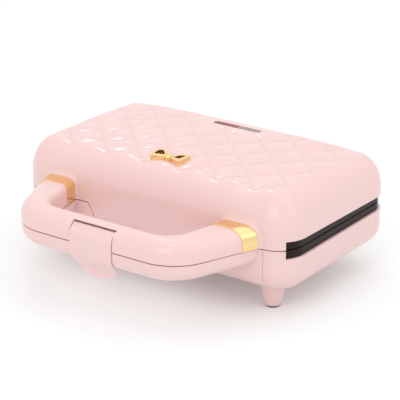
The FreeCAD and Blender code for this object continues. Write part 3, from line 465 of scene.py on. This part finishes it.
def lid_collars():
    """The two mouths of the lid that flare round the arms behind the bands."""
    profile = []
    for k in range(FLARE_STEPS + 1):
        turn = math.radians(90 * (1 - k / FLARE_STEPS))
        profile.append((COLLAR_PROUD + COLLAR_FLARE * (1 - math.cos(turn)),
                        -COLLAR_REACH + (COLLAR_REACH + LID_SINK) * math.sin(turn), math.sin(turn)))
    profile += [(-ARM_SINK, -COLLAR_REACH, 0.0), (-ARM_SINK, LID_SINK, 1.0)]
    bm = bmesh.new()
    for side in (-1, 1):
        closed_tube(bm, [[bm.verts.new((x + nx * out, FRONT + forward + shoulder_inset(z + nz * out) * share,
                                        z + nz * out)) for out, forward, share in profile]
                         for (x, z), (nx, nz) in arm_outline(side)])
    new_piece("lid_collars", mesh_of("lid_collars", bm), "lid", "pink_abs", sharp=40)


def lid_hinge_eyes():
    """The lid's hinge eyes, taken from the CAD lid, with their roots sunk into its rear wall."""
    bm = cad_copy("lid_shell")
    ahead = [f for f in bm.faces if f.calc_center_median().y < EYE_START]
    bmesh.ops.delete(bm, geom=ahead, context="FACES")
    root = [e for e in bm.edges if e.is_boundary]
    for vertex in {v for e in root for v in e.verts}:
        vertex.co.y -= EYE_ROOT
    bmesh.ops.holes_fill(bm, edges=root)
    piece = new_piece("lid_hinge_eyes", plain_mesh("lid_hinge_eyes", bm), "lid", "pink_abs")
    soften_edges(piece, width=0.4)


# The gold bow, in millimetres from the middle of its knot

BOW_X, BOW_Y, BOW_SEAT = 1.0, -18.9, 87.6
LEFT_LOOP = [(-1.8, -1.5), (-1.8, 1.6), (-4.4, 4.9), (-8.6, 9.2), (-11.4, 10.2), (-13.8, 9.2), (-14.7, 6.0),
             (-14.6, 2.6), (-13.9, -2.2), (-12.8, -5.4), (-11.0, -5.8), (-8.0, -3.8), (-4.6, -2.2)]
RIGHT_LOOP = [(1.8, -1.5), (6.0, -3.2), (10.2, -4.4), (11.8, -3.8), (12.4, -1.0), (12.5, 4.0), (12.9, 8.6),
              (12.0, 9.8), (8.5, 9.2), (4.9, 7.2), (1.8, 1.8)]
# The middle of each loop's hollow, and the reach at which its rim has risen from low to high.
LEFT_HEART, LEFT_REACH = (-10.8, 4.2), 12.8
RIGHT_HEART, RIGHT_REACH = (6.4, 4.0), 12.0
LOOP_OPENING, LOOP_LOW, LOOP_HIGH, LOOP_FLOOR = 0.54, 4.3, 4.8, 2.6
KNOT_SIDES, KNOT_RIBS, RIB_BULGE, KNOT_SQUARENESS = 16, 4, 1.08, 0.6
KNOT_HALF_WIDTH, KNOT_HALF_DEPTH = 2.6, 3.4
# Each ring of the knot as its share of the full width and its height.
KNOT_RINGS = [(0.92, 0.0), (1.0, 1.6), (1.0, 4.6), (0.86, 5.1), (0.6, 5.6)]


def squared(share):
    """Moves a circle's sine or cosine towards a rounded square's."""
    return math.copysign(abs(share) ** KNOT_SQUARENESS, share)


def gold_bow():
    """Two hollow ribbon loops that flare from a ribbed knot."""
    bm = bmesh.new()
    for loop, (heart_x, heart_y), reach in ((LEFT_LOOP, LEFT_HEART, LEFT_REACH),
                                            (RIGHT_LOOP, RIGHT_HEART, RIGHT_REACH)):
        inner = [(heart_x + (x - heart_x) * LOOP_OPENING, heart_y + (y - heart_y) * LOOP_OPENING)
                 for x, y in loop]
        seat, floor = [0.0] * len(loop), [LOOP_FLOOR] * len(loop)
        rim = [LOOP_LOW + (LOOP_HIGH - LOOP_LOW) * abs(x) / reach for x, y in loop]
        levels = ((loop, seat), (loop, rim), (inner, rim), (inner, floor))
        faces = closed_tube(bm, [[bm.verts.new((BOW_X + x, BOW_Y + y, BOW_SEAT + z))
                                  for (x, y), z in zip(outline, heights)] for outline, heights in levels])
        # The hollow's wall and floor take the bow's second finish, its painted shade.
        for face in faces[-len(loop) - 1:]:
            face.material_index = 1
    outline = []
    for k in range(KNOT_SIDES):
        turn = 2 * math.pi * k / KNOT_SIDES
        bulge = 1.0 if k % (KNOT_SIDES // KNOT_RIBS) else RIB_BULGE
        outline.append((KNOT_HALF_WIDTH * bulge * squared(math.cos(turn)),
                        KNOT_HALF_DEPTH * bulge * squared(math.sin(turn))))
    closed_tube(bm, [[bm.verts.new((BOW_X + x * share, BOW_Y + y * share, BOW_SEAT + z)) for x, y in outline]
                     for share, z in KNOT_RINGS])
    piece = new_piece("gold_bow", mesh_of("gold_bow", bm), "lid", "gold_plating")
    piece.data.materials.append(BOW_HOLLOW_SHADE)
    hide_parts("bow_ornament")
    soften_edges(piece, width=0.4)


# The latch, in millimetres

# Its pin, the radii between which its rolled top lies, and how far the top is drawn in towards the pin.
LATCH_PIN_Y, LATCH_PIN_Z, ROLL_INNER, ROLL_OUTER, ROLL_DRAW = -102.05, 62.6, 3.0, 3.5, 1.1
# Below its top the tongue is longer than the CAD one, and wider at its end.
TONGUE_TOP, TONGUE_STRETCH, TONGUE_FLARE, TONGUE_CUTS = 43.0, 1.25, 0.13, 15
# The bend that sweeps the tongue under the grip. The face behind the tongue's middle bends later and less.
BEND_TOP, BEND_DROP, TONGUE_MIDDLE = 45.0, 14.0, -107.0
FRONT_SWEEP, BACK_SWEEP, BACK_DELAY = 8.25, 6.9, 2.5


def latch_clip():
    """The CAD latch with its top drawn in, which opens the dark slot, and its tongue swept under the grip."""
    bm = cad_copy("latch")
    for k in range(TONGUE_CUTS):
        bmesh.ops.bisect_plane(bm, geom=bm.verts[:] + bm.edges[:] + bm.faces[:], plane_no=(0, 0, 1),
                               plane_co=(0, 0, BEND_TOP - k))
    for vertex in bm.verts:
        out = Vector((0.0, vertex.co.y - LATCH_PIN_Y, vertex.co.z - LATCH_PIN_Z))
        if ROLL_INNER < out.length < ROLL_OUTER:
            vertex.co -= out.normalized() * ROLL_DRAW
        vertex.co.z -= max(TONGUE_TOP - vertex.co.z, 0.0) * (TONGUE_STRETCH - 1)
        below = BEND_TOP - vertex.co.z
        sweep, delay = (BACK_SWEEP, BACK_DELAY) if vertex.co.y > TONGUE_MIDDLE else (FRONT_SWEEP, 0.0)
        vertex.co.y += sweep * ease(below, delay, BEND_DROP)
        vertex.co.x *= 1 + TONGUE_FLARE * ease(below, 0.0, BEND_DROP)
    piece = new_piece("latch_clip", plain_mesh("latch_clip", bm), "latch", "pink_abs")
    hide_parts("latch")
    soften_edges(piece, width=0.6)


# Feet and pads, as profiles of radius and height in millimetres

FOOT_PROFILE = [(5.4, 1.25), (6.0, 1.5), (6.35, 2.3), (7.0, 5.0), (7.9, 9.0), (8.7, 13.0), (9.4, 16.5),
                (9.8, 18.5), (10.4, 20.4), (11.2, 21.6), (11.2, 24.0)]
PAD_PROFILE = [(4.6, 0.0), (5.0, 0.25), (5.1, 0.8), (5.1, 2.1)]
TURNED_SIDES = 48


def turned(name, node, profile, slot):
    """A round piece turned from its profile about the middle of its CAD node."""
    low, high = (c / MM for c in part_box(node))
    centre = (low + high) / 2
    turns = [2 * math.pi * k / TURNED_SIDES for k in range(TURNED_SIDES)]
    bm = bmesh.new()
    closed_tube(bm, [[bm.verts.new((centre.x + r * math.cos(turn), centre.y + r * math.sin(turn), z))
                      for turn in turns] for r, z in profile])
    piece = new_piece(name, mesh_of(name, bm), BODY_OF[node], slot, sharp=50)
    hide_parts(node)


quilted_lid()
lid_collars()
lid_hinge_eyes()
gold_bow()
latch_clip()
for corner in ("front_left", "front_right", "rear_left", "rear_right"):
    turned(corner + "_cone_foot", corner + "_foot", FOOT_PROFILE, "pink_abs")
    turned(corner + "_rubber_pad", corner + "_foot_pad", PAD_PROFILE, "black_rubber")

# The other outer pieces keep their CAD shapes, with edges rounded by these widths in millimetres.
EDGE_WIDTHS = {
    "base_shell": ("base_tray", 0.5),
    "lower_handle": ("front_panel_and_lower_grip", 0.7),
    "upper_handle": ("upper_grip", 0.8),
    "left_handle_band": ("left_band", 0.15),
    "right_handle_band": ("right_band", 0.15),
    "upper_plate": ("upper_waffle_plate", 0.4),
    "lower_plate": ("lower_waffle_plate", 0.4),
    "power_lens": ("power_window", 0.2),
    "ready_lens": ("ready_window", 0.2),
    "cord_gland": ("cord_bush", 0.3),
}
for node, (name, width) in EDGE_WIDTHS.items():
    softened(node, name, width)

for node, shape in NODES.items():
    if not shape.hide_render:
        for holder in shape.material_slots:
            holder.material = FINISHES[SLOT_OF[node]]


# Floor, light and camera

# Half the floor's width in metres, the glow that lifts it to white, and the level of light from all round.
FLOOR_HALF, FLOOR_LIFT, WORLD_FILL = 6, 0.13, 0.85
# Each lamp's place and width in metres, and its power in watts.
LAMPS = {
    "overhead_softbox": ((0.1, 0.2, 1.5), 1.6, 3.1),
    "front_fill": ((0.3, -1.5, 1.1), 1.0, 4.0),
    "right_fill": ((1.5, 0.1, 1.1), 1.0, 1.7),
    "rear_left_sparkle": ((-0.45, 0.47, 0.75), 0.10, 0.28),
}
LAMP_AIM = Vector((0, 0, 0.05))
# The camera's degrees round from the front and above the floor, then its focal length and scale in pixels.
CAMERA_TURN, CAMERA_RISE = 35.6, 21.2
FOCAL_PIXELS, PIXELS_PER_MM, PICTURE_PIXELS = 1750.0, 1.41, 400
# The seam in the middle of the lid's front, and its place in the picture.
SEAM, SEAM_ACROSS, SEAM_DOWN = Vector((0, FRONT, 52)), 147.6, 218.5


def seen_straight(tree):
    """1 for what the camera sees, also by way of shiny and clear pieces, and 0 for light on the object."""
    path = add(tree, "LightPath")
    seen = path.outputs["Is Camera Ray"]
    for also in ("Is Glossy Ray", "Is Transmission Ray"):
        seen = add(tree, "Math", {0: seen, 1: path.outputs[also]}, operation="MAXIMUM").outputs[0]
    return seen


def studio_floor():
    """A wide matt floor that reads white to the eye and keeps the object's soft shadow."""
    made = bpy.data.materials.new("matt_white_studio_floor")
    made.use_nodes = True
    tree = made.node_tree
    tree.nodes.clear()
    lift = add(tree, "Math", {0: seen_straight(tree), 1: FLOOR_LIFT}, operation="MULTIPLY")
    matt = add(tree, "BsdfDiffuse", {"Color": srgb("#F0F4F4")})
    glow = add(tree, "Emission", {"Color": srgb("#FFFFFF"), "Strength": lift.outputs[0]})
    both = add(tree, "AddShader", {0: matt.outputs[0], 1: glow.outputs[0]})
    add(tree, "OutputMaterial", {"Surface": both.outputs[0]})
    mesh = bpy.data.meshes.new("studio_floor")
    corners = [(x * FLOOR_HALF, y * FLOOR_HALF, 0) for x, y in ((-1, -1), (1, -1), (1, 1), (-1, 1))]
    mesh.from_pydata(corners, [], [(0, 1, 2, 3)])
    mesh.materials.append(made)
    floor = bpy.data.objects.new("studio_floor", mesh)
    bpy.context.collection.objects.link(floor)


def studio_world():
    """Soft white light from all round, which the camera and the shiny pieces see as white."""
    world = bpy.data.worlds.new("studio")
    bpy.context.scene.world = world
    world.use_nodes = True
    tree = world.node_tree
    level = add(tree, "MapRange", {"Value": seen_straight(tree), "To Min": WORLD_FILL, "To Max": 1.0})
    tree.links.new(level.outputs["Result"], tree.nodes["Background"].inputs["Strength"])
    tree.nodes["Background"].inputs["Color"].default_value = srgb("#FFFFFF")


def softbox(name, place, size, power):
    """A square lamp that faces the object."""
    lamp = bpy.data.lights.new(name, "AREA")
    lamp.shape = "SQUARE"
    lamp.size = size
    lamp.energy = power
    made = bpy.data.objects.new(name, lamp)
    made.location = place
    made.rotation_euler = (Vector(place) - LAMP_AIM).to_track_quat("Z", "Y").to_euler()
    bpy.context.collection.objects.link(made)


def photo_camera():
    """The camera at the photograph's angle, which shows the lid's seam where the photograph does."""
    turn, rise = math.radians(CAMERA_TURN), math.radians(CAMERA_RISE)
    back = Vector((math.sin(turn) * math.cos(rise), -math.cos(turn) * math.cos(rise), math.sin(rise)))
    right = Vector((math.cos(turn), math.sin(turn), 0))
    up = back.cross(right)
    across, down = ((place - PICTURE_PIXELS / 2) / PIXELS_PER_MM for place in (SEAM_ACROSS, SEAM_DOWN))
    aim = SEAM - right * across + up * down
    camera = bpy.data.objects.new("camera", bpy.data.cameras.new("camera"))
    camera.data.lens = camera.data.sensor_width * FOCAL_PIXELS / PICTURE_PIXELS
    camera.location = (aim + back * (FOCAL_PIXELS / PIXELS_PER_MM)) * MM
    camera.rotation_euler = back.to_track_quat("Z", "Y").to_euler()
    bpy.context.collection.objects.link(camera)
    bpy.context.scene.camera = camera


studio_floor()
studio_world()
for name, (place, size, power) in LAMPS.items():
    softbox(name, place, size, power)
photo_camera()
bpy.context.scene.view_settings.view_transform = "Standard"
